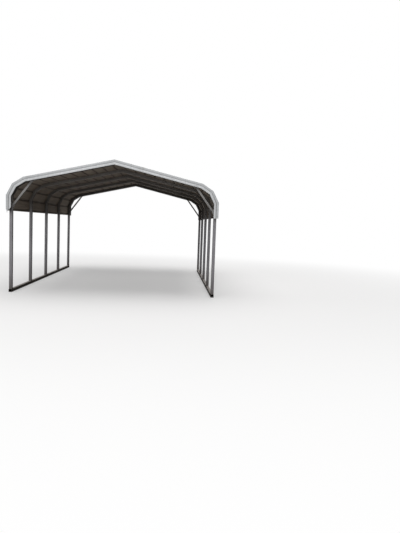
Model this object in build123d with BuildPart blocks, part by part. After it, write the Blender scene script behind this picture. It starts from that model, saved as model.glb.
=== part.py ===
from build123d import *
import os
from math import ceil, cos, hypot, radians, sin, sqrt, tan

# Open carport of galvanised square steel tube under a corrugated sheet roof.
# X runs across it, Y from the open front (-Y) to the open rear, and Z up from the ground.
# The origin is on the ground, midway between the rails and midway along them.

# Frame
frame_width = 4267.2  # 14 ft over the outer faces of the legs
tube = 63.5  # 2 1/2 in square tube of the rails, legs and bows
tube_wall = 1.9
tube_corner = 4.0  # outer corner radius of the tube
bow_count = 5
bow_spacing = 1524.0  # 5 ft centres
rail_nose = 19.0  # how far a rail runs past the end legs
leg_length = 1828.8  # 6 ft legs
pin_length = 100.0  # upright pins on the rails, inside the legs
spigot_length = 90.0  # narrowed ends of the bows, inside the legs
slip_fit = 0.25  # clearance on each side of a pin or spigot
anchor_hole = 14.0  # for ground stakes through the rails
anchor_inset = 120.0  # from the leg beside it, towards the middle

# Arch of the bows, on their outer face
roof_pitch = 13.0  # degrees
run_slopes = [63.0, 33.0]  # degrees, of the two runs between a corner's bends, from the leg up
corner_run = 250.0  # from one bend to the next
bow_foot = 92.7  # straight end of a bow, from the top of the leg to the lowest bend
bend_radius = 60.0  # on the inside of a bend

# Knee braces on the front and rear bows
brace_tube = 38.1
brace_wall = 1.6
brace_drop = 100.0  # from the top of the leg to the brace's centre line
brace_reach = 380.0  # from the leg to where it meets the bow

# Corrugated roof sheets
roof_overhang = 152.4  # 6 in past the outer faces of the end bows
skirt_drop = 306.0  # sheet below the lowest bend
sheet_thickness = 0.45
rib_pitch = 228.6  # 9 in
rib_height = 25.4
rib_base = 50.0
rib_top = 20.0
pitches_per_sheet = 4  # 3 ft cover
lip = 8.0  # flat beside the rib on a sheet's edge
joggle = 3.0  # where an upper sheet steps down off the lower one
lap_gap = 0.1  # between the two sheets of a lap
seat_gap = 0.2  # between a sheet, trim or brace and what carries it

# End trims, a folded strip round each end of the roof
trim_thickness = 0.5
trim_flange = 50.0  # on top of the ribs
trim_upper = 44.0  # face above the groove
trim_groove_width = 10.0
trim_groove_depth = 6.0
trim_lower = 44.0  # face below the groove
trim_return = 12.0
trim_drop = 10.5  # end of the trim below the sheets

# Values worked out from those above
half_width = frame_width / 2
leg_x = half_width - tube / 2
leg_top = tube + leg_length
bend_height = leg_top + bow_foot
brace_height = leg_top - brace_drop
bow_stations = [(n - (bow_count - 1) / 2) * bow_spacing for n in range(bow_count)]
frame_length = (bow_count - 1) * bow_spacing
rail_length = frame_length + tube + 2 * rail_nose
roof_length = frame_length + tube + 2 * roof_overhang
tube_bore = tube - 2 * tube_wall
pin_size = tube_bore - 2 * slip_fit
pin_bore = pin_size - 2 * tube_wall
bow_chamfer = tube_corner * (2 - sqrt(2))  # a flat that touches the round it stands for
skirt_foot = bend_height - skirt_drop
lap_height = sheet_thickness + lap_gap
sides = {"left": -1, "right": 1}
ends = {"front": -1, "rear": 1}

os.makedirs("parts", exist_ok=True)


def arch_path(foot):
    """Corners (x, z) of the bows' outer face from the left foot over the ridge to the right."""
    right = [(half_width, foot), (half_width, bend_height)]
    for run_slope in run_slopes:
        slope = radians(run_slope)
        x, z = right[-1]
        right.append((x - corner_run * cos(slope), z + corner_run * sin(slope)))
    x, z = right[-1]
    ridge = (0, z + x * tan(radians(roof_pitch)))
    left = [(-x, z) for x, z in right]
    return left + [ridge] + right[::-1]


def offset_path(path, distance):
    """The path moved to its left, which is outward on the arch, with mitred corners."""
    normals = []
    for (x0, z0), (x1, z1) in zip(path, path[1:]):
        length = hypot(x1 - x0, z1 - z0)
        normals.append(((z0 - z1) / length, (x1 - x0) / length))
    moved = []
    for (x, z), (ax, az), (bx, bz) in zip(path, normals[:1] + normals, normals + normals[-1:]):
        share = distance / (1 + ax * bx + az * bz)
        moved.append((x + share * (ax + bx), z + share * (az + bz)))
    return moved


def across(y):
    """The plane across the carport at y, with its local axes along X and Z."""
    return Plane.XZ.offset(-y)


# Base rails: open tubes on the ground, drilled for the stakes
for side, sign in sides.items():
    with BuildPart() as rail:
        with BuildSketch(across(rail_length / 2)):
            with Locations((sign * leg_x, tube / 2)):
                RectangleRounded(tube, tube, tube_corner)
                Rectangle(tube_bore, tube_bore, mode=Mode.SUBTRACT)
        extrude(amount=rail_length)
        with BuildSketch(Plane.XY):
            for y in (bow_stations[0] + anchor_inset, anchor_inset, bow_stations[-1] - anchor_inset):
                with Locations((sign * leg_x, y)):
                    Circle(anchor_hole / 2)
        extrude(amount=tube, mode=Mode.SUBTRACT)
    rail.part.label = f"base_rail_{side}"
    export_step(rail.part, f"parts/{rail.part.label}.step")

# Pins: short narrower tubes welded upright on each rail, one inside each leg
for side, sign in sides.items():
    with BuildPart() as pins:
        with BuildSketch(Plane.XY.offset(tube)):
            with Locations(*[(sign * leg_x, y) for y in bow_stations]):
                Rectangle(pin_size, pin_size)
                Rectangle(pin_bore, pin_bore, mode=Mode.SUBTRACT)
        extrude(amount=pin_length)
    pins.part.label = f"leg_pins_{side}"
    export_step(pins.part, f"parts/{pins.part.label}.step")

# Legs: upright tubes slipped over the pins, standing on the rails
for side, sign in sides.items():
    for n, y in enumerate(bow_stations, start=1):
        with BuildPart() as leg:
            with BuildSketch(Plane.XY.offset(tube)):
                with Locations((sign * leg_x, y)):
                    RectangleRounded(tube, tube, tube_corner)
                    Rectangle(tube_bore, tube_bore, mode=Mode.SUBTRACT)
            extrude(amount=leg_length)
        leg.part.label = f"leg_{side}_{n}"
        export_step(leg.part, f"parts/{leg.part.label}.step")

# Roof bows: one tube each, bent at the ridge and three times at each corner,
# with its ends narrowed to slip into the legs
bow_centre = offset_path(arch_path(leg_top), -tube / 2)
for n, y in enumerate(bow_stations, start=1):
    with BuildPart() as bow:
        with BuildLine(across(y)) as centre_line:
            FilletPolyline(*bow_centre, radius=bend_radius + tube / 2)
        with BuildSketch(Plane.XY.offset(leg_top)) as section:
            with Locations((-leg_x, y)):
                Rectangle(tube, tube)
            chamfer(section.vertices(), length=bow_chamfer)
        sweep(path=centre_line.wires()[0])
        with BuildSketch(Plane.XY.offset(leg_top)):
            with Locations((-leg_x, y)):
                Rectangle(tube_bore, tube_bore)
        sweep(path=centre_line.wires()[0], mode=Mode.SUBTRACT)
        feet = [(-leg_x, y), (leg_x, y)]
        with BuildSketch(Plane.XY.offset(leg_top)):
            with Locations(*feet):
                Rectangle(tube_bore, tube_bore)
        extrude(amount=tube_wall)
        with BuildSketch(Plane.XY.offset(leg_top - spigot_length)):
            with Locations(*feet):
                Rectangle(pin_size, pin_size)
        extrude(amount=spigot_length)
        with BuildSketch(Plane.XY.offset(leg_top - spigot_length)):
            with Locations(*feet):
                Rectangle(pin_bore, pin_bore)
        extrude(amount=spigot_length + tube_wall, mode=Mode.SUBTRACT)
    bow.part.label = f"roof_bow_{n}"
    export_step(bow.part, f"parts/{bow.part.label}.step")

# Knee braces: square tubes cut to lie flat against the leg and the underside of the bow
arch = arch_path(skirt_foot)
ridge = len(arch) // 2
leg_face = half_width - tube - seat_gap
soffit = offset_path(arch, -tube - seat_gap)[ridge][1]
soffit_slope = tan(radians(roof_pitch))
brace_end = leg_face - brace_reach
brace_rise = soffit - brace_end * soffit_slope - brace_height


def brace_face(width):
    """Outline of a brace of this width: its two edges cut by the leg and by the bow."""
    length = hypot(brace_reach, brace_rise)
    corners = []
    for edge in (-width / 2, width / 2):
        start = brace_height + edge * length / brace_reach
        reach = (soffit - leg_face * soffit_slope - start) / (brace_rise / brace_reach - soffit_slope)
        foot = (leg_face, start)
        head = (leg_face - reach, start + reach * brace_rise / brace_reach)
        corners += [foot, head] if edge < 0 else [head, foot]
    return corners


for end, way in ends.items():
    for side, sign in sides.items():
        station = across(bow_stations[0] if way < 0 else bow_stations[-1])
        with BuildPart() as brace:
            with BuildSketch(station):
                with BuildLine():
                    Polyline(*[(sign * x, z) for x, z in brace_face(brace_tube)], close=True)
                make_face()
            extrude(amount=brace_tube / 2, both=True)
            bore = brace_tube - 2 * brace_wall
            with BuildSketch(station):
                with BuildLine():
                    Polyline(*[(sign * x, z) for x, z in brace_face(bore)], close=True)
                make_face()
            extrude(amount=bore / 2, both=True, mode=Mode.SUBTRACT)
        brace.part.label = f"knee_brace_{end}_{side}"
        export_step(brace.part, f"parts/{brace.part.label}.step")

# Roof sheets: ribs and flats run front to back, and the sheets lap rib over rib.
# Distances along the arch are counted from the ridge, positive to the right.
distances = [0]
for (x0, z0), (x1, z1) in zip(arch, arch[1:]):
    distances.append(distances[-1] + hypot(x1 - x0, z1 - z0))
girth = distances[ridge]
distances = [d - girth for d in distances]
rib_half_count = int((girth - rib_base / 2 - lip) / rib_pitch + 0.5)
sheet_count = ceil((2 * rib_half_count - 1) / pitches_per_sheet)


def on_arch(distance, height):
    """The point (x, z) at this distance along the arch and this height above it."""
    run = min(max(sum(d <= distance for d in distances) - 1, 0), len(arch) - 2)
    (x0, z0), (x1, z1) = arch[run], arch[run + 1]
    length = hypot(x1 - x0, z1 - z0)
    ux, uz = (x1 - x0) / length, (z1 - z0) / length
    along = distance - distances[run]
    return (x0 + ux * along - uz * height, z0 + uz * along + ux * height)


def laid_on_arch(profile):
    """A profile of (distance, height) points set on the arch, with a corner at each bend."""
    points = []
    for (s0, h0), (s1, h1) in zip(profile, profile[1:] + profile[-1:]):
        points.append(on_arch(s0, h0))
        for bend, s in enumerate(distances):
            if s0 < s < s1:
                height = h0 + (h1 - h0) * (s - s0) / (s1 - s0)
                points.append(offset_path(arch, height)[bend])
    return points


def rib_profile(n, raised):
    """Rib n with a lip on both sides, raised by the lower sheet where it laps over one."""
    centre = (n + 0.5) * rib_pitch
    shape = []
    for reach, height in ((rib_base / 2 + lip, 0), (rib_base / 2, 0), (rib_top / 2, rib_height)):
        shape.append((centre - reach, height))
    shape += [(2 * centre - s, h) for s, h in shape[::-1]]
    return offset_path(shape, lap_height if raised else 0)


def sheet_profile(first, last, raised):
    """The sheet that carries ribs first to last, those in raised lying over another sheet."""
    profile = []
    for n in range(first, last + 1):
        shape = rib_profile(n, n in raised)
        if n == first:
            profile.append(shape[0])
        elif n in raised and n - 1 not in raised:
            profile.append((shape[0][0] - 2 * joggle, 0))
            profile.append((shape[0][0] - joggle, lap_height))
        profile += shape[1:-1]
        if n == last:
            profile.append(shape[-1])
        elif n in raised and n + 1 not in raised:
            profile.append((shape[-1][0] + joggle, lap_height))
            profile.append((shape[-1][0] + 2 * joggle, 0))
    if first == -rib_half_count:
        profile[0] = (-girth, 0)
    if last == rib_half_count - 1:
        profile[-1] = (girth, 0)
    return [(s, h + seat_gap) for s, h in profile]


sheets = []
for k in range(sheet_count):
    first = rib_half_count - 1 - pitches_per_sheet * (sheet_count - k)
    first = max(first, -rib_half_count)
    sheets.append((first, first + pitches_per_sheet))
ridge_sheet = [first < 0 <= last for first, last in sheets].index(True)

for k, (first, last) in enumerate(sheets):
    raised = set()
    if 0 < k <= ridge_sheet:
        raised |= set(range(first, sheets[k - 1][1] + 1))
    if ridge_sheet <= k < sheet_count - 1:
        raised |= set(range(sheets[k + 1][0], last + 1))
    inside = laid_on_arch(sheet_profile(first, last, raised))
    outside = offset_path(inside, sheet_thickness)
    with BuildPart() as sheet:
        with BuildSketch(Plane.XZ):
            with BuildLine():
                Polyline(*inside, *outside[::-1], close=True)
            make_face()
        extrude(amount=roof_length / 2, both=True)
    sheet.part.label = f"roof_sheet_{k + 1}"
    export_step(sheet.part, f"parts/{sheet.part.label}.step")

# End trims: folded strips over the sheets' ends, in halves that meet at the ridge.
# Each fold is a band (low, high, near, far): heights above the bows, and depths from its face.
trim_top = 2 * seat_gap + rib_height + lap_height + sheet_thickness + trim_thickness
groove_top = trim_top - trim_upper
groove_foot = groove_top - trim_groove_width
trim_foot = groove_foot - trim_lower
groove_back = trim_groove_depth + trim_thickness
trim_bands = [
    (trim_top - trim_thickness, trim_top, 0, trim_flange),
    (groove_top, trim_top, 0, trim_thickness),
    (groove_top, groove_top + trim_thickness, 0, groove_back),
    (groove_foot, groove_top + trim_thickness, trim_groove_depth, groove_back),
    (groove_foot - trim_thickness, groove_foot, 0, groove_back),
    (trim_foot, groove_foot, 0, trim_thickness),
    (trim_foot, trim_foot + trim_thickness, 0, trim_return),
]
trim_arch = arch_path(skirt_foot - trim_drop)
trim_face = roof_length / 2 + seat_gap + trim_thickness

for end, way in ends.items():
    for side, sign in sides.items():
        with BuildPart() as trim:
            for low, high, near, far in trim_bands:
                inner = offset_path(trim_arch, low)[ridge:]
                outer = offset_path(trim_arch, high)[ridge:]
                corners = [(sign * x, z) for x, z in inner + outer[::-1]]
                with BuildSketch(across(way * (trim_face - far))):
                    with BuildLine():
                        Polyline(*corners, close=True)
                    make_face()
                extrude(amount=-way * (far - near))
        trim.part.label = f"end_trim_{end}_{side}"
        export_step(trim.part, f"parts/{trim.part.label}.step")
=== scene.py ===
from math import atan2, cos, hypot, pi, radians, sin, tan
import bpy
from mathutils import Matrix, Vector, noise


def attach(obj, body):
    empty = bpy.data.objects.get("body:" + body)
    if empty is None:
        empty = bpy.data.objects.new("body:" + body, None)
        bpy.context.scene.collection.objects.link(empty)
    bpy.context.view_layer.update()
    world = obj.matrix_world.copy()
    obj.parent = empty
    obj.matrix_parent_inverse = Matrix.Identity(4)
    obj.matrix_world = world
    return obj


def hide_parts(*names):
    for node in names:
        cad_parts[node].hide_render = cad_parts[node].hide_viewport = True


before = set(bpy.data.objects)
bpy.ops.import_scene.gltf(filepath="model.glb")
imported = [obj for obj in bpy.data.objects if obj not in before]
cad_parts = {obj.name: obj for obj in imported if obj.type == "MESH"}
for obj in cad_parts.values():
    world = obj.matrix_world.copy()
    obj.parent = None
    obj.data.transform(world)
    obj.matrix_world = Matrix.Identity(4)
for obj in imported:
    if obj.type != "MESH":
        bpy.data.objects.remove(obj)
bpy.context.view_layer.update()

# Base rails: two square tubes of galvanised steel that lie on the ground and carry the legs.
# They are roll formed from zinc coated strip and cut off square, with open ends. Dust lies on
# their tops, and soil splashed up by rain has dried along their sides.


class Wire:
    """One value on its way through the nodes of a finish. Sums of wires add Math nodes."""

    def __init__(self, tree, socket=None):
        self.tree = tree
        self.socket = socket

    def node(self, kind, sockets=None, output=0, **settings):
        """Adds a node of this kind, with its settings, then its sockets' numbers or wires."""
        made = self.tree.nodes.new(kind)
        for name, value in settings.items():
            setattr(made, name, value)
        for key, value in (sockets or {}).items():
            if isinstance(value, Wire):
                self.tree.links.new(value.socket, made.inputs[key])
            else:
                made.inputs[key].default_value = value
        return Wire(self.tree, made.outputs[output] if len(made.outputs) else None)

    def maths(self, operation, *others):
        return self.node("ShaderNodeMath", dict(enumerate((self, *others))), operation=operation)

    def __add__(self, other):
        return self.maths("ADD", other)

    def __sub__(self, other):
        return self.maths("SUBTRACT", other)

    def __mul__(self, other):
        return self.maths("MULTIPLY", other)

    def __rsub__(self, other):
        return self * -1 + other

    __radd__ = __add__
    __rmul__ = __mul__

    def rising(self, low, high):
        """0 at low, 1 at high and smooth between them, also where low is above high."""
        sockets = {0: self, 1: low, 2: high}
        return self.node("ShaderNodeMapRange", sockets, interpolation_type="SMOOTHSTEP")

    def over(self, under, top):
        """The colour top laid over the colour under, as thick as this wire says."""
        colours = [c if isinstance(c, Wire) else (*c, 1) for c in (under, top)]
        sockets = {0: self, 6: colours[0], 7: colours[1]}
        return self.node("ShaderNodeMix", sockets, output=2, data_type="RGBA")

    def stretched(self, x, y, z):
        return self.node("ShaderNodeVectorMath", {0: self, 1: (x, y, z)}, operation="MULTIPLY")

    def part(self, axis):
        return self.node("ShaderNodeSeparateXYZ", {0: self}, output=axis)

    def cloud(self, scale, detail=3.0):
        return self.node("ShaderNodeTexNoise", {"Vector": self, "Scale": scale, "Detail": detail})

    def grains(self, scale):
        """Flat crystals about 1 / scale metres across, each of its own tone."""
        found = self.node("ShaderNodeTexVoronoi", {"Vector": self, "Scale": scale}, output="Color")
        return found.part("X")


def new_finish(name):
    """An empty finish, and the place of the point that is painted, in metres from the part's origin."""
    finish = bpy.data.materials.new(name)
    finish.use_nodes = True
    finish.node_tree.nodes.clear()
    return finish, Wire(finish.node_tree).node("ShaderNodeTexCoord", output="Object")


def cover(place, colour, roughness, metallic, relief, depth, shine=0.5):
    """Ends a finish in its surface, with the relief as fine height differences of this depth."""
    normal = place.node("ShaderNodeBump", {"Distance": depth, "Height": relief})
    sockets = {"Base Color": colour, "Roughness": roughness, "Metallic": metallic, "Normal": normal}
    sockets["Specular IOR Level"] = shine
    surface = place.node("ShaderNodeBsdfPrincipled", sockets)
    place.node("ShaderNodeOutputMaterial", {"Surface": surface})


def tube_finish(name, dull, bright, soil_height, soil_share, top_dust, inner_shade_share, roof_dust_and_shade=0.0):
    """Zinc on square tube: crystals, patches and streaks, with soil at its foot and dust on top.

    Painted shade darkens the sides that face inward. The end trims' shadow is painted on the end bows
    and on the tops of the end legs.
    The last argument sets how far brown dust, where no rain washes it off, and painted shade of the
    roof hide the zinc towards the top. It also turns on the painted shadow of the end trims.
    """
    soil_colour = (0.080, 0.061, 0.048)
    dust_colour = (0.285, 0.240, 0.205)
    painted_shade_colour = (0.030, 0.025, 0.021)
    finish, place = new_finish(name)
    patches = place.cloud(1.9, 4.0)
    crystals = place.grains(62)
    streaks = place.stretched(38, 38, 0.8).cloud(1.0, 2.0)
    tone = patches.rising(0.34, 0.66) * 0.55 + crystals * 0.20 + streaks.rising(0.35, 0.7) * 0.25
    # brown dust and painted shade of the roof, growing towards the top
    hazed_and_shaded = place.part("Z").rising(1.45, 2.05) * roof_dust_and_shade
    road_dust_and_shade = tone.over((0.118, 0.110, 0.101), (0.185, 0.174, 0.163))
    zinc = hazed_and_shaded.over(tone.over(dull, bright), road_dust_and_shade)
    splash = place.part("Z") - place.cloud(9.0, 4.0) * 0.16
    facing = place.node("ShaderNodeNewGeometry", output="Normal")
    upward = facing.part("Z").rising(0.75, 1.0)
    outward = facing.part("X") * place.part("X")
    # painted shade: faces that look towards the carport's middle are darkened
    grime_and_painted_shade = outward.rising(-0.6, -1.6) * inner_shade_share
    outer = place.part("Z").rising(1.95, 2.02)
    outer = outer.maths("MAXIMUM", place.part("X").maths("ABSOLUTE").rising(2.080, 2.098)
                        * place.part("Z").rising(1.60, 1.72))
    length = place.part("Y")
    # painted shadow of the end trims, on the end bows and the leg tops just behind them
    painted_trim_shadow = length.rising(-2.90, -3.01) * (0.72 + patches * 0.25) + length.rising(2.90, 3.01) * 0.35
    grime_and_painted_shade = grime_and_painted_shade.maths("MAXIMUM", painted_trim_shadow * outer * roof_dust_and_shade)
    rinsed = 1 - outward.rising(0.6, 1.6) * 0.45
    soil = splash.rising(soil_height, -0.05) * (1 - upward) * rinsed * soil_share
    dust = upward * top_dust * place.cloud(14.0).rising(0.25, 0.6)
    colour = dust.over(grime_and_painted_shade.over(soil.over(zinc, soil_colour), painted_shade_colour), dust_colour)
    rough = 0.56 + crystals * 0.08 + soil * 0.3 + dust * 0.2 + grime_and_painted_shade * 0.4
    metallic = (1 - soil) * (1 - dust) * (1 - grime_and_painted_shade) * 0.10
    cover(place, colour, rough, metallic, crystals * 0.3 + place.cloud(120.0) * 0.7, 0.0004, 0.12)
    return finish


def paint_nodes(finish, *nodes):
    """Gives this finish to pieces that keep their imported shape."""
    for node in nodes:
        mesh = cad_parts[node].data
        mesh.materials.clear()
        mesh.materials.append(finish)


# The rails' inward faces carry strong painted shade.
rail_finish = tube_finish("dusty_zinc_rail", (0.170, 0.165, 0.160), (0.260, 0.255, 0.250),
                          soil_height=0.14, soil_share=0.92, top_dust=0.65, inner_shade_share=0.92)
paint_nodes(rail_finish, "base_rail_left", "base_rail_right")

# Leg pins: short narrower tubes stood on the rails and welded, one inside the foot of each leg.
# They are the same galvanised strip, and the legs hide them from every side.

pin_finish = tube_finish("zinc_pin", (0.100, 0.100, 0.102), (0.150, 0.150, 0.155),
                         soil_height=0.20, soil_share=0.35, top_dust=0.0, inner_shade_share=0.0)
paint_nodes(pin_finish, "leg_pins_left", "leg_pins_right")

# Legs: ten upright square tubes, slipped over the pins and fixed there by two self-drilling screws
# on each of two sides. Their zinc has weathered to a dull blue grey, with brown dust at the foot.

bow_count = 5
bow_spacing = 1.524
bow_stations = [(n - (bow_count - 1) / 2) * bow_spacing for n in range(bow_count)]
tube = 0.0635
half_width = 2.1336
leg_top = tube + 1.8288
sides = {"left": -1, "right": 1}

screw_offset = 0.014

# Painted shade on its inward faces and in the end trims' shadow; dust and painted shade under the roof.
leg_finish = tube_finish("dull_zinc_leg", (0.172, 0.167, 0.176), (0.262, 0.256, 0.268),
                         soil_height=0.36, soil_share=0.50, top_dust=0.0, inner_shade_share=0.65, roof_dust_and_shade=1.0)
for side in sides:
    paint_nodes(leg_finish, *[f"leg_{side}_{n}" for n in range(1, bow_count + 1)])


def new_piece(name, points, faces, finishes, smooth=30, slots_of_faces=None):
    """A mesh piece of the carport that stays on its frame."""
    mesh = bpy.data.meshes.new(name)
    mesh.from_pydata(points, [], faces)
    for finish in finishes:
        mesh.materials.append(finish)
    if slots_of_faces:
        mesh.polygons.foreach_set("material_index", slots_of_faces)
    mesh.shade_smooth()
    mesh.set_sharp_from_angle(angle=radians(smooth))
    mesh.validate()
    piece = bpy.data.objects.new(name, mesh)
    bpy.context.scene.collection.objects.link(piece)
    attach(piece, "root")
    return piece


def screw_finish():
    """Bright zinc plating on a screw, with a little white bloom."""
    finish, place = new_finish("screw_plating")
    bloom = place.cloud(260.0)
    colour = bloom.over((0.24, 0.24, 0.23), (0.42, 0.42, 0.41))
    cover(place, colour, 0.34 + bloom * 0.25, 0.7, bloom, 0.0001)
    return finish


def rubber_finish():
    """Black sealing washer, greyed by dust."""
    finish, place = new_finish("washer_rubber")
    dust = place.cloud(180.0)
    colour = dust.over((0.018, 0.018, 0.019), (0.06, 0.057, 0.053))
    cover(place, colour, 0.7 + dust * 0.2, 0.0, dust, 0.0001)
    return finish


screw_finishes = [screw_finish(), rubber_finish()]


def heads(name, places, rings, rubber_rings=0):
    """One mesh of heads at (point, outward, turn). Each ring is (corner radius, flat radius, height)."""
    count = 12
    points, faces, finish_of_faces = [], [], []
    for point, outward, turn in places:
        stand = Vector(outward).to_track_quat("Z", "Y").to_matrix() @ Matrix.Rotation(turn, 3, "Z")
        first = len(points)
        for corner, flat, height in rings:
            for step in range(count):
                radius = corner if step % 2 == 0 else flat
                angle = 2 * pi * step / count
                spot = Vector((radius * cos(angle), radius * sin(angle), height))
                points.append(Vector(point) + stand @ spot)
        for ring in range(len(rings) - 1):
            for step in range(count):
                a = first + ring * count + step
                b = first + ring * count + (step + 1) % count
                faces.append((a, b, b + count, a + count))
                finish_of_faces.append(1 if ring < rubber_rings else 0)
        last = first + (len(rings) - 1) * count
        faces.append(tuple(range(last, last + count)))
        faces.append(tuple(range(first + count - 1, first - 1, -1)))
        finish_of_faces += [0, 0]
    return new_piece(name, points, faces, screw_finishes, 35, finish_of_faces)


hexagon_head = [(0.0062, 0.0062, 0.0), (0.0062, 0.0062, 0.0007), (0.0050, 0.0050, 0.0012),
                (0.0046, 0.0040, 0.0012), (0.0046, 0.0040, 0.0047), (0.0038, 0.0036, 0.0053)]
leg_screws = []
for side, sign in sides.items():
    for y in bow_stations:
        for across in (-screw_offset, screw_offset):
            height = tube + (0.035 if across < 0 else 0.070)
            leg_screws.append(((sign * half_width, y + across, height), (sign, 0, 0), across * 40 + y))
            inner = (sign * (half_width - tube), y - across, height + 0.004)
            leg_screws.append((inner, (-sign, 0, 0), y + 0.4))
heads("leg_foot_screws", leg_screws, hexagon_head)

# Roof bows: one square tube each, from leg to leg over the ridge. A press bends it at the ridge and
# three times at each corner, and creases its inner wall. Its ends are narrowed to slip into the
# legs, and two screws on each of two sides hold them.

roof_pitch = radians(13.0)
run_slopes = [radians(63.0), radians(33.0)]
ridge = len(run_slopes) + 2
corner_run = 0.250
bend_height = leg_top + 0.0927
corner_radius = 0.004
bend_radius = 0.060 + tube / 2
spigot_length = 0.090
tube_wall = 0.0019
slip_fit = 0.00025
spigot_size = tube - 2 * tube_wall - 2 * slip_fit
crease_depth = 0.0085
crease_swell = 0.0014
creases = 3


def arch_line(foot):
    """Corners (x, z) of the bows' outer face, from the left foot over the ridge to the right."""
    right = [(half_width, foot), (half_width, bend_height)]
    for slope in run_slopes:
        x, z = right[-1]
        right.append((x - corner_run * cos(slope), z + corner_run * sin(slope)))
    x, z = right[-1]
    return [(-x, z) for x, z in right] + [(0, z + x * tan(roof_pitch))] + right[::-1]


def moved_out(line, distance):
    """The line moved to its left, which is outward on the arch, with mitred corners."""
    normals = []
    for (x0, z0), (x1, z1) in zip(line, line[1:]):
        length = hypot(x1 - x0, z1 - z0)
        normals.append(((z0 - z1) / length, (x1 - x0) / length))
    moved = []
    for (x, z), (ax, az), (bx, bz) in zip(line, normals[:1] + normals, normals + normals[-1:]):
        share = distance / (1 + ax * bx + az * bz)
        moved.append((x + share * (ax + bx), z + share * (az + bz)))
    return moved


def bow_rings():
    """(x, z, heading, press, size) along the bow's middle; press is how far its wall is pressed in."""
    line = moved_out(arch_line(leg_top), -tube / 2)
    x, z = line[0]
    rings = [(x, z - spigot_length, pi / 2, 0, spigot_size)]
    rings += [(x, z, pi / 2, 0, spigot_size), (x, z, pi / 2, 0, tube)]
    steps = 24
    for before, corner, after in zip(line, line[1:], line[2:]):
        heading = atan2(corner[1] - before[1], corner[0] - before[0])
        turn = heading - atan2(after[1] - corner[1], after[0] - corner[0])
        reach = bend_radius * tan(turn / 2)
        start = (corner[0] - reach * cos(heading), corner[1] - reach * sin(heading))
        middle = (start[0] + bend_radius * sin(heading), start[1] - bend_radius * cos(heading))
        for step in range(steps + 1):
            share = step / steps
            now = heading - turn * share
            press = sin(pi * share) ** 0.7 * (0.68 + 0.32 * cos(2 * pi * creases * (share - 0.5)))
            at = (middle[0] - bend_radius * sin(now), middle[1] + bend_radius * cos(now))
            rings.append((*at, now, press, tube))
    x, z = line[-1]
    rings += [(x, z, -pi / 2, 0, tube), (x, z, -pi / 2, 0, spigot_size)]
    rings.append((x, z - spigot_length, -pi / 2, 0, spigot_size))
    return rings


def bow_section():
    """(outward, across, pushed, swollen): points round the tube and how the press moves them."""
    half = tube / 2
    outline = []
    for corner in range(4):
        turn = pi / 4 + corner * pi / 2
        centre = (half - corner_radius) * 2 ** 0.5
        for bend in (-45, -15, 15, 45):
            angle = turn + radians(bend)
            outline.append((centre * cos(turn) + corner_radius * cos(angle),
                            centre * sin(turn) + corner_radius * sin(angle)))
    inner = [(-half, across) for across in (0.024, 0.017, 0.009, 0.0, -0.009, -0.017, -0.024)]
    left = [(out, half) for out in (0.004, -0.009, -0.020)]
    right = [(out, -half) for out in (-0.020, -0.009, 0.004)]
    outline = outline[:4] + left + outline[4:8] + inner + outline[8:12] + right + outline[12:]
    section = []
    for out, across in outline:
        pushed = max(0.0, 1 - (across / 0.0285) ** 2) ** 1.5 if out < -half + 0.0001 else 0.0
        swollen = max(0.0, 1 - abs(out + 0.018) / 0.024) if abs(across) > half - 0.0001 else 0.0
        section.append((out, across, pushed, swollen))
    return section


rings, section = bow_rings(), bow_section()
for n, y in enumerate(bow_stations, start=1):
    points, faces = [], []
    for x, z, heading, press, size in rings:
        for out, across, pushed, swollen in section:
            out = out * size / tube + pushed * press * crease_depth
            across = across * size / tube + swollen * press * crease_swell * (1 if across > 0 else -1)
            points.append((x - out * sin(heading), y + across, z + out * cos(heading)))
    count = len(section)
    for ring in range(len(rings) - 1):
        for step in range(count):
            a, b = ring * count + step, ring * count + (step + 1) % count
            faces.append((a, a + count, b + count, b))
    faces.append(tuple(range(count)))
    faces.append(tuple(range(len(points) - 1, len(points) - count - 1, -1)))
    bow = new_piece(f"pressed_bow_{n}", points, faces, [leg_finish])
    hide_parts(f"roof_bow_{n}")

bow_screws = []
for side, sign in sides.items():
    for y in bow_stations:
        for across in (-screw_offset, screw_offset):
            height = leg_top - (0.030 if across < 0 else 0.062)
            bow_screws.append(((sign * half_width, y + across, height), (sign, 0, 0), across * 30 + y))
            inner = (sign * (half_width - tube), y - across, height - 0.006)
            bow_screws.append((inner, (-sign, 0, 0), y + 0.9))
heads("bow_foot_screws", bow_screws, hexagon_head)

# Knee braces: lighter square tubes between the legs and the bows at the two ends of the carport.
# They are cut to the slopes they lie against, and a bent clip under each end is screwed to both.

brace_tube = 0.0381
brace_height = leg_top - 0.100
brace_reach = 0.380
seat_gap = 0.0002
clip_width = 0.034
clip_leg = 0.048
clip_thickness = 0.003
ends = {"front": -1, "rear": 1}

# The braces' inward faces carry painted shade.
brace_finish = tube_finish("zinc_brace", (0.188, 0.184, 0.178), (0.270, 0.266, 0.260),
                           soil_height=0.10, soil_share=0.0, top_dust=0.0, inner_shade_share=0.60)
paint_nodes(brace_finish, *[f"knee_brace_{end}_{side}" for end in ends for side in sides])

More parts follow.
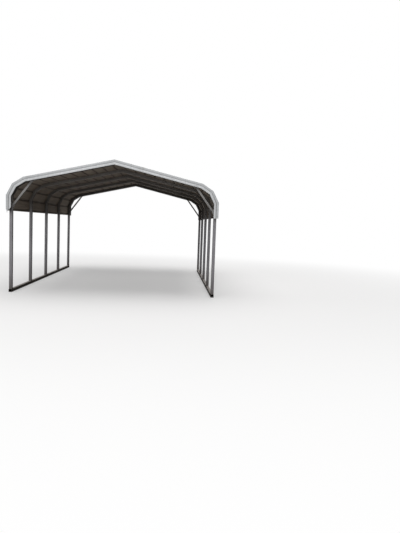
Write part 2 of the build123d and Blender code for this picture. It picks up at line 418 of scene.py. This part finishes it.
leg_face = half_width - tube - seat_gap
soffit = moved_out(arch_line(leg_top), -tube - seat_gap)[ridge][1]
brace_rise = soffit - (leg_face - brace_reach) * tan(roof_pitch) - brace_height
brace_slope = atan2(brace_rise, brace_reach)
under_foot = (leg_face, brace_height - brace_tube / 2 / cos(brace_slope))
under_run = (soffit - leg_face * tan(roof_pitch) - under_foot[1]) / (tan(brace_slope) - tan(roof_pitch))
under_head = (leg_face - under_run, under_foot[1] + under_run * tan(brace_slope))
along_brace = (-cos(brace_slope), sin(brace_slope))
clip_ends = [
    (under_foot, (0, -1), along_brace),
    (under_head, (-along_brace[0], -along_brace[1]), (-cos(roof_pitch), sin(roof_pitch))),
]
points, faces, clip_screws = [], [], []
for end, way in ends.items():
    y = way * bow_stations[-1]
    for side, sign in sides.items():
        for corner, first, second in clip_ends:
            line = [(corner[0] + clip_leg * first[0], corner[1] + clip_leg * first[1]), corner,
                    (corner[0] + clip_leg * second[0], corner[1] + clip_leg * second[1])]
            outline = line + moved_out(line, clip_thickness)[::-1]
            start = len(points)
            for across in (-clip_width / 2, clip_width / 2):
                points += [(sign * x, y + across, z) for x, z in outline]
            count = len(outline)
            near = [start + step for step in range(count)]
            far = [start + count + step for step in range(count)]
            wall = [(near[k], near[k - 1], far[k - 1], far[k]) for k in range(count)]
            halves = [(near[0], near[1], near[4], near[5]), (near[1], near[2], near[3], near[4])]
            halves += [(far[5], far[4], far[1], far[0]), (far[4], far[3], far[2], far[1])]
            faces += [face if sign > 0 else face[::-1] for face in wall + halves]
            for leg in (first, second):
                out = (-leg[1], leg[0]) if leg is second else (leg[1], -leg[0])
                x = corner[0] + leg[0] * clip_leg * 0.6 + out[0] * clip_thickness
                z = corner[1] + leg[1] * clip_leg * 0.6 + out[1] * clip_thickness
                clip_screws.append(((sign * x, y, z), (sign * out[0], 0, out[1]), 0.3 * len(clip_screws)))
new_piece("brace_clips", points, faces, [brace_finish])
heads("brace_screws", clip_screws, hexagon_head)

# Roof sheets: six sheets of thin steel with pressed ribs, laid from front to back and lapped rib
# over rib, the higher sheet on top. The outer two are bent down over the bows' corners into
# skirts. The outside is weathered zinc. The underside is brown with dust and darkened further as
# painted shade, most along its rib channels, and it is lightened towards the open ends as painted light.

roof_length = (bow_count - 1) * bow_spacing + tube + 2 * 0.1524
skirt_foot = bend_height - 0.306
sheet_thickness = 0.00045
rib_pitch = 0.2286
rib_height = 0.0254
rib_base = 0.050
rib_top = 0.020
lip = 0.008
joggle = 0.003
lap_height = sheet_thickness + 0.0001
bead_height = 0.0028
bead_base = 0.024
bead_top = 0.009
pillow = 0.0026
sheets = [(-12, -8), (-9, -5), (-5, -1), (-1, 3), (3, 7), (7, 11)]
ridge_sheet = 3


def outside_finish():
    """Zinc coated sheet from outside: crystals, dull runs down the slope and dust above each rib."""
    finish, place = new_finish("weathered_sheet")
    along = place.node("ShaderNodeAttribute", output="Fac", attribute_name="along")
    phase = (along.maths("ABSOLUTE") * (1 / rib_pitch)).maths("FRACT")
    patches = place.cloud(0.9, 5.0)
    crystals = place.grains(55)
    runs = place.stretched(1.1, 26, 1.1).cloud(1.0, 3.0)
    tone = patches.rising(0.32, 0.68) * 0.5 + crystals * 0.22 + runs.rising(0.3, 0.75) * 0.28
    zinc = tone.over((0.300, 0.305, 0.308), (0.465, 0.472, 0.477))
    held = phase.rising(0.24, 0.385) * phase.rising(0.46, 0.39)
    dust = held * runs.rising(0.36, 0.62) * 0.55 + place.cloud(6.0, 6.0).rising(0.56, 0.80) * 0.25
    colour = dust.over(zinc, (0.205, 0.180, 0.152))
    rough = 0.64 + crystals * 0.08 + dust * 0.2
    cover(place, colour, rough, (1 - dust) * 0.06, crystals * 0.4 + place.cloud(90.0) * 0.6, 0.0003, 0.08)
    return finish


def underside_finish():
    """Underside: dull, brown with dust and painted shade, darkest in the ribs, lighter at the ends."""
    finish, place = new_finish("dusty_shaded_underside")
    along = place.node("ShaderNodeAttribute", output="Fac", attribute_name="along")
    phase = (along * (1 / rib_pitch) + 40).maths("FRACT")
    # painted shade in the rib channels seen from below
    painted_rib_shade = phase.rising(0.37, 0.43) * phase.rising(0.63, 0.57)
    patches = place.stretched(2.2, 0.7, 2.2).cloud(1.0, 5.0)
    # brown dust, made darker as painted shade
    brown_dust_and_shade = patches.rising(0.3, 0.7).over((0.105, 0.084, 0.064), (0.165, 0.134, 0.104))
    # painted light: the underside is lighter towards the open front and rear ends
    painted_end_light = place.part("Y").maths("ABSOLUTE").rising(1.3, 3.0) * 0.65
    colour = (painted_rib_shade * 0.5).over(painted_end_light.over(brown_dust_and_shade, (0.240, 0.208, 0.172)), (0.055, 0.045, 0.036))
    cover(place, colour, 0.66 + patches * 0.2, 0.0, place.cloud(70.0), 0.0003, 0.12)
    return finish


def eased(profile, reach):
    """The profile with each corner replaced by a short curve."""
    points = [profile[0]]
    for (ax, az), (bx, bz), (cx, cz) in zip(profile, profile[1:], profile[2:]):
        before, after = hypot(bx - ax, bz - az), hypot(cx - bx, cz - bz)
        near, far = min(reach, before * 0.45) / before, min(reach, after * 0.45) / after
        start = (bx + (ax - bx) * near, bz + (az - bz) * near)
        stop = (bx + (cx - bx) * far, bz + (cz - bz) * far)
        points.append(start)
        points.append(((start[0] + 2 * bx + stop[0]) / 4, (start[1] + 2 * bz + stop[1]) / 4))
        points.append(stop)
    return points + [profile[-1]]


arch = arch_line(skirt_foot)
distances = [0]
for (x0, z0), (x1, z1) in zip(arch, arch[1:]):
    distances.append(distances[-1] + hypot(x1 - x0, z1 - z0))
girth = distances[-1] / 2
distances = [d - girth for d in distances]


def on_arch(distance, height, soft=0.012):
    """The point (x, z) at this distance along the arch from the ridge and this height above it."""
    run = min(max(sum(d <= distance for d in distances) - 1, 0), len(arch) - 2)

    def straight(run, distance):
        (x0, z0), (x1, z1) = arch[run], arch[run + 1]
        length = distances[run + 1] - distances[run]
        ux, uz = (x1 - x0) / length, (z1 - z0) / length
        step = distance - distances[run]
        return x0 + ux * step, z0 + uz * step, ux, uz

    for bend in range(1, len(arch) - 1):
        if abs(distance - distances[bend]) < soft:
            share = (distance - distances[bend]) / soft / 2 + 0.5
            ax, az, ux, uz = straight(bend - 1, distances[bend] - soft)
            cx, cz, vx, vz = straight(bend, distances[bend] + soft)
            bx, bz = arch[bend]
            x = ax * (1 - share) ** 2 + 2 * bx * share * (1 - share) + cx * share ** 2
            z = az * (1 - share) ** 2 + 2 * bz * share * (1 - share) + cz * share ** 2
            tx, tz = ux * (1 - share) + vx * share, uz * (1 - share) + vz * share
            length = hypot(tx, tz)
            return x - tz / length * height, z + tx / length * height
    x, z, ux, uz = straight(run, distance)
    return x - uz * height, z + ux * height


def rib_profile(n, raised):
    """Rib n with a lip on both sides, raised by the lower sheet where it laps over one."""
    centre = (n + 0.5) * rib_pitch
    shape = [(centre - rib_base / 2 - lip, 0), (centre - rib_base / 2, 0)]
    shape.append((centre - rib_top / 2, rib_height))
    shape += [(2 * centre - s, h) for s, h in shape[::-1]]
    return moved_out(shape, lap_height if raised else 0)


def flat_profile(n):
    """Two low stiffening beads on the flat after rib n, left out where a bend would cross one."""
    points = []
    for third in (1, 2):
        centre = (n + 0.5) * rib_pitch + rib_base / 2 + (rib_pitch - rib_base) * third / 3
        if min(abs(centre - d) for d in distances) > 0.018:
            bead = ((-bead_base, 0), (-bead_top, bead_height), (bead_top, bead_height), (bead_base, 0))
            points += [(centre + reach / 2, height) for reach, height in bead]
    return points


def sheet_profile(first, last, raised):
    """The sheet that carries ribs first to last, those in raised lying over another sheet."""
    profile = []
    for n in range(first, last + 1):
        shape = rib_profile(n, n in raised)
        if n == first:
            profile.append((-girth, 0) if first == sheets[0][0] else shape[0])
        elif n in raised and n - 1 not in raised:
            profile += [(shape[0][0] - 2 * joggle, 0), (shape[0][0] - joggle, lap_height)]
        profile += shape[1:-1]
        if n == last:
            profile.append((girth, 0) if last == sheets[-1][1] else shape[-1])
            break
        if n in raised and n + 1 not in raised:
            profile += [(shape[-1][0] + joggle, lap_height), (shape[-1][0] + 2 * joggle, 0)]
        profile += flat_profile(n)
    return [(s, h + seat_gap) for s, h in profile]


steps_of_bend = (-0.012, -0.008, -0.004, 0, 0.004, 0.008, 0.012)


def divided(profile, longest):
    """The profile with more points on its long runs and beside the bends of the arch."""
    points = []
    for (s0, h0), (s1, h1) in zip(profile, profile[1:]):
        parts = max(1, round((s1 - s0) / longest))
        stops = [s0 + (s1 - s0) * k / parts for k in range(parts)]
        for d in distances[1:-1]:
            stops += [d + step for step in steps_of_bend if s0 < d + step < s1]
        for s in sorted(set(stops)):
            points.append((s, h0 + (h1 - h0) * (s - s0) / (s1 - s0)))
    return points + [profile[-1]]


def flat_share(s):
    """1 in the middle of the flat between two ribs, 0 at the ribs and their laps."""
    reach = abs((s / rib_pitch) % 1 - 0.5) * rib_pitch
    return max(0.0, min(1.0, (reach - 0.040) / 0.040))


sheet_finishes = [outside_finish(), underside_finish()]
steps_along = 60
sheet_inset = 0.004
for k, (first, last) in enumerate(sheets):
    raised = set()
    if 0 < k <= ridge_sheet:
        raised |= set(range(first, sheets[k - 1][1] + 1))
    if ridge_sheet <= k < len(sheets) - 1:
        raised |= set(range(sheets[k + 1][0], last + 1))
    inside = divided(eased(sheet_profile(first, last, raised), 0.003), 0.030)
    outside = moved_out(inside, sheet_thickness)
    points, along, faces, finish_of_faces = [], [], [], []
    for step in range(steps_along + 1):
        y = (roof_length - 2 * sheet_inset) * (step / steps_along - 0.5)
        bay = sin(pi * y / bow_spacing) ** 2 if abs(y) < bow_stations[-1] else 0.0
        for profile in (inside, outside):
            for (s, h), (s0, h0) in zip(profile, inside):
                wave = noise.noise(Vector((s0 * 4.5, y * 1.6, 7.0 * k)))
                points.append((s, y, h + pillow * wave * bay * flat_share(s0)))
                along.append(s0)
    points = [(on_arch(s, h)[0], y, on_arch(s, h)[1]) for s, y, h in points]
    count = len(inside)
    ring = 2 * count
    for step in range(steps_along):
        for across in range(count - 1):
            a = step * ring + across
            faces.append((a, a + ring, a + 1 + ring, a + 1))
            finish_of_faces.append(1)
            a += count
            faces.append((a, a + 1, a + 1 + ring, a + ring))
            finish_of_faces.append(0)
        for edge in (0, count - 1):
            a = step * ring + edge
            face = (a, a + ring, a + ring + count, a + count)
            faces.append(face if edge else face[::-1])
            finish_of_faces.append(0)
    for step in (0, steps_along):
        for across in range(count - 1):
            a = step * ring + across
            face = (a, a + count, a + count + 1, a + 1)
            faces.append(face if step else face[::-1])
            finish_of_faces.append(0)
    name = f"ribbed_sheet_{k + 1}"
    sheet = new_piece(name, points, faces, sheet_finishes, 28, finish_of_faces)
    marks = sheet.data.attributes.new("along", "FLOAT", "POINT")
    marks.data.foreach_set("value", along)
    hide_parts(f"roof_sheet_{k + 1}")

# Roof screws: self-drilling screws with rubber washers, through the flat below each rib into
# every bow, and above the last rib of each skirt.

washer = [(0.0070, 0.0070, 0.0), (0.0072, 0.0072, 0.0008), (0.0066, 0.0066, 0.0016)]
washered_head = washer + [(corner, flat, height + 0.0016) for corner, flat, height in hexagon_head]
roof_screws = []
for y in bow_stations:
    for n in range(-12, 12):
        centre = (n + 0.5) * rib_pitch
        beside = -0.050 if abs(centre) > girth - 0.060 else 0.050
        distance = centre + (beside if n >= 0 else -beside)
        x, z = on_arch(distance, seat_gap + sheet_thickness)
        x2, z2 = on_arch(distance, 1.0)
        outward = (x2 - x, 0, z2 - z)
        off = 0.004 * noise.noise(Vector((n * 1.7, y, 3.0)))
        roof_screws.append(((x, y + off, z), outward, n + y))
heads("roof_screws", roof_screws, washered_head, len(washer) - 1)

# End trims: a strip folded from zinc coated sheet round each end of the roof, in two halves.
# Its flange lies on the ribs, a narrow groove stiffens its face, and its lower edge is turned in.
# It is snipped and bent at each corner, and a riveted tongue laps over the joint at the ridge.

trim_thickness = 0.0005
trim_flange = 0.050
trim_upper = 0.044
trim_groove_width = 0.010
trim_groove_depth = 0.006
trim_lower = 0.044
trim_return = 0.012
trim_drop = 0.0105
trim_top = 2 * seat_gap + rib_height + lap_height + sheet_thickness + trim_thickness
groove_top = trim_top - trim_upper
groove_foot = groove_top - trim_groove_width
trim_foot = groove_foot - trim_lower
tongue_reach = 0.060
rivet_head = [(0.0034, 0.0034, 0.0), (0.0030, 0.0030, 0.0006), (0.0016, 0.0016, 0.0010)]
trim_face = roof_length / 2 + seat_gap - 0.0012


def trim_finish():
    """Pale zinc on folded strip, faint runs down its face, darker above its groove, painted shade in it.
    """
    finish, place = new_finish("pale_trim")
    height = place.node("ShaderNodeAttribute", output="Fac", attribute_name="fold_height")
    patches = place.cloud(1.4, 4.0)
    crystals = place.grains(58)
    runs = place.stretched(30, 30, 1.6).cloud(1.0, 3.0)
    tone = patches.rising(0.3, 0.7) * 0.45 + crystals * 0.2 + runs.rising(0.3, 0.7) * 0.35
    zinc = tone.over((0.405, 0.414, 0.420), (0.545, 0.555, 0.562))
    low = place.part("Z").rising(2.16, 1.95)
    dull = height.rising(groove_foot - 0.004, groove_foot + 0.006) * (0.42 - low * 0.24) + low * 0.14
    # painted shade in the groove, stronger low on the skirts
    groove_shade = height.rising(groove_foot - 0.003, groove_foot)
    groove_shade = groove_shade * height.rising(groove_top + 0.003, groove_top)
    grime_and_painted_shade = place.cloud(7.0, 6.0).rising(0.58, 0.82) * 0.35
    colour = grime_and_painted_shade.over(dull.over(zinc, (0.262, 0.268, 0.274)), (0.235, 0.218, 0.195))
    colour = (groove_shade * (0.20 + low * 0.55)).over(colour, (0.080, 0.077, 0.074))
    cover(place, colour, 0.46 + crystals * 0.08 + grime_and_painted_shade * 0.3, (1 - grime_and_painted_shade) * 0.2,
          crystals * 0.3 + place.cloud(80.0) * 0.7, 0.0003, 0.3)
    return finish


trim_line = arch_line(skirt_foot - trim_drop)
steps_of_runs = [24, 3, 3, 4]
fold = [
    (trim_top, trim_flange), (trim_top, 0), (0.003, 0), (groove_top, 0), (groove_top, trim_groove_depth),
    (groove_foot, trim_groove_depth), (groove_foot, 0), (trim_foot, 0), (trim_foot, trim_return),
]
fold_outside = eased(fold, 0.0012)
fold_inside = moved_out(fold_outside, -trim_thickness)
trim_paint = trim_finish()
cut_foot = [(trim_top, 0.075), (0.003, -0.038), (groove_top, 0.036), (groove_foot, 0.020)]
cut_foot.append((trim_foot, 0.078))


def foot_lift(height):
    """How much higher than square the front left trim is cut off, at this height over the sheet."""
    for (h0, lift0), (h1, lift1) in zip(cut_foot, cut_foot[1:]):
        if height >= h1:
            return lift0 + (lift1 - lift0) * max(0, h0 - height) / (h0 - h1)
    return lift1


def strip_points(section, stations, end, side):
    """Points round the section at each (run, share) from the ridge down, with a slight waviness."""
    lines = [moved_out(trim_line, height)[ridge:] for height, depth in section]
    points = []
    for run, share in stations:
        for (height, depth), line in zip(section, lines):
            (x0, z0), (x1, z1) = line[run], line[run + 1]
            if run == len(steps_of_runs) - 1 and (end, side) == ("front", "left"):
                z1 += foot_lift(height)
            x, z = x0 + (x1 - x0) * share, z0 + (z1 - z0) * share
            spot = Vector((x * 2.5, z * 2.5, 5.0 * ends[end] + sides[side]))
            sway = 0.0005 * (1 + noise.noise(spot))
            points.append((sides[side] * x, ends[end] * (trim_face - depth - sway), z))
    return points


def strip_faces(count, rings, end, side):
    """Walls and ends of a strip whose section has this many points, the first half of them outside."""
    faces = []
    for ring in range(rings - 1):
        for step in range(count):
            a, b = ring * count + step, ring * count + (step + 1) % count
            faces.append((a, b, b + count, a + count))
    far = (rings - 1) * count
    for a in range(count // 2 - 1):
        b = count - 1 - a
        faces.append((b, b - 1, a + 1, a))
        faces.append((far + a, far + a + 1, far + b - 1, far + b))
    return faces if sides[side] * ends[end] < 0 else [face[::-1] for face in faces]


def new_strip(name, section, stations, end, side):
    points = strip_points(section, stations, end, side)
    faces = strip_faces(len(section), len(stations), end, side)
    strip = new_piece(name, points, faces, [trim_paint], 32)
    marks = strip.data.attributes.new("fold_height", "FLOAT", "POINT")
    marks.data.foreach_set("value", [height for height, depth in section] * len(stations))
    return strip


trim_stations = [(run, k / steps) for run, steps in enumerate(steps_of_runs) for k in range(steps)]
trim_stations.append((len(steps_of_runs) - 1, 1.0))
tongue_share = tongue_reach / (distances[ridge + 1] - distances[ridge])
tongue_line = eased([(trim_top - 0.003, 0)] + fold[3:7] + [(trim_foot + 0.002, 0)], 0.0012)
tongue_section = moved_out(tongue_line, trim_thickness + 0.0001) + moved_out(tongue_line, 0.0001)[::-1]
trim_screws, rivets = [], []
for end, way in ends.items():
    for side in sides:
        name = f"folded_trim_{end}_{side}"
        trim = new_strip(name, fold_outside + fold_inside[::-1], trim_stations, end, side)
        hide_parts(f"end_trim_{end}_{side}")
    tongue_stations = [(0, tongue_share * k / 3) for k in range(4)]
    new_strip(f"ridge_tongue_{end}", tongue_section, tongue_stations, end, "right")
    for height in (trim_top - 0.022, trim_foot + 0.022):
        for reach in (0.018, 0.045):
            share = tongue_share * reach / tongue_reach
            place = strip_points([(height, -trim_thickness - 0.0001)], [(0, share)], end, "right")[0]
            rivets.append((place, (0, way, 0), reach * 50))
    for n in range(-10, 10):
        distance = (n + 0.5) * rib_pitch
        x, z = on_arch(distance, trim_top)
        x2, z2 = on_arch(distance, 1.0)
        trim_screws.append(((x, way * (trim_face - 0.027), z), (x2 - x, 0, z2 - z), n * 0.7))
heads("trim_screws", trim_screws, hexagon_head)
heads("trim_rivets", rivets, rivet_head)

# Floor, lamps and background: a plain pale studio floor that fades into white, two wide soft
# lamps before and above the carport and weaker ones behind and at its sides.

floor_mesh = bpy.data.meshes.new("studio_floor")
reach = 70.0
floor_mesh.from_pydata([(-reach, -reach, -0.0005), (reach, -reach, -0.0005), (reach, reach, -0.0005),
                        (-reach, reach, -0.0005)], [], [(0, 1, 2, 3)])
studio_floor = bpy.data.objects.new("studio_floor", floor_mesh)
bpy.context.scene.collection.objects.link(studio_floor)

floor_finish, place = new_finish("pale_floor")
seen = place.node("ShaderNodeLightPath", output="Is Camera Ray")
for kind in ("Is Glossy Ray", "Is Transmission Ray"):
    seen = seen.maths("MAXIMUM", place.node("ShaderNodeLightPath", output=kind))
distance = place.node("ShaderNodeVectorMath", {0: place}, output="Value", operation="LENGTH")
pale = (0.80, 0.79, 0.78)
bounce = place.part("Y").rising(-3.0, -4.6).over((0.26, 0.24, 0.22), pale)
matt = place.node("ShaderNodeBsdfDiffuse", {"Color": seen.over(bounce, pale)})
white = place.node("ShaderNodeEmission", {"Color": (1, 1, 1, 1), "Strength": 1.0})
fade = distance.rising(4.0, 13.0) * 0.72 + 0.28
mixed = place.node("ShaderNodeMixShader", {0: seen * fade, 1: matt, 2: white})
place.node("ShaderNodeOutputMaterial", {"Surface": mixed})
floor_mesh.materials.append(floor_finish)

world = bpy.data.worlds.new("studio_sky")
world.use_nodes = True
world.node_tree.nodes.clear()
bpy.context.scene.world = world
sky = Wire(world.node_tree)
seen = sky.node("ShaderNodeLightPath", output="Is Camera Ray")
for kind in ("Is Glossy Ray", "Is Transmission Ray"):
    seen = seen.maths("MAXIMUM", sky.node("ShaderNodeLightPath", output=kind))
glow = sky.node("ShaderNodeBackground", {"Color": (0.93, 0.95, 1.0, 1), "Strength": 0.18})
white = sky.node("ShaderNodeBackground", {"Color": (1, 1, 1, 1), "Strength": 1.0})
shown = sky.node("ShaderNodeMixShader", {0: seen, 1: glow, 2: white})
sky.node("ShaderNodeOutputWorld", {"Surface": shown})


def soft_lamp(name, place, size, power):
    """A wide square lamp that looks at the middle of the carport."""
    lamp = bpy.data.lights.new(name, "AREA")
    lamp.shape = "RECTANGLE"
    lamp.size, lamp.size_y = size
    lamp.energy = power
    holder = bpy.data.objects.new(name, lamp)
    bpy.context.scene.collection.objects.link(holder)
    holder.location = place
    holder.rotation_euler = (Vector((0, 0, 1.2)) - Vector(place)).to_track_quat("-Z", "Y").to_euler()
    holder.visible_camera = False


soft_lamp("front_lamp", (-2.0, -18.0, 8.0), (12, 7), 1350)
soft_lamp("top_lamp", (0.0, 0.0, 12.0), (14, 14), 1250)
soft_lamp("rear_lamp", (3.0, 17.0, 9.0), (12, 7), 800)
soft_lamp("left_lamp", (-15.0, -2.0, 10.0), (7, 12), 400)
soft_lamp("right_lamp", (15.0, 2.0, 10.0), (7, 12), 400)

# Camera: at a standing person's eye height before the carport, a little to the right of its middle.
# It looks slightly down and is tilted by two degrees, as in the photograph.

lens = bpy.data.cameras.new("camera")
lens.sensor_width = 36.0
lens.lens = 528.02 / 533 * 36.0
camera = bpy.data.objects.new("camera", lens)
bpy.context.scene.collection.objects.link(camera)
camera.matrix_world = (
    Matrix.Translation((1.203, -14.169, 1.543))
    @ Matrix.Rotation(radians(-3.207), 4, "Z")
    @ Matrix.Rotation(radians(90 - 4.590), 4, "X")
    @ Matrix.Rotation(radians(2.041), 4, "Z")
)
bpy.context.scene.camera = camera
bpy.context.scene.view_settings.view_transform = "Standard"

# Last, the scene is brought up to date.

bpy.context.view_layer.update()
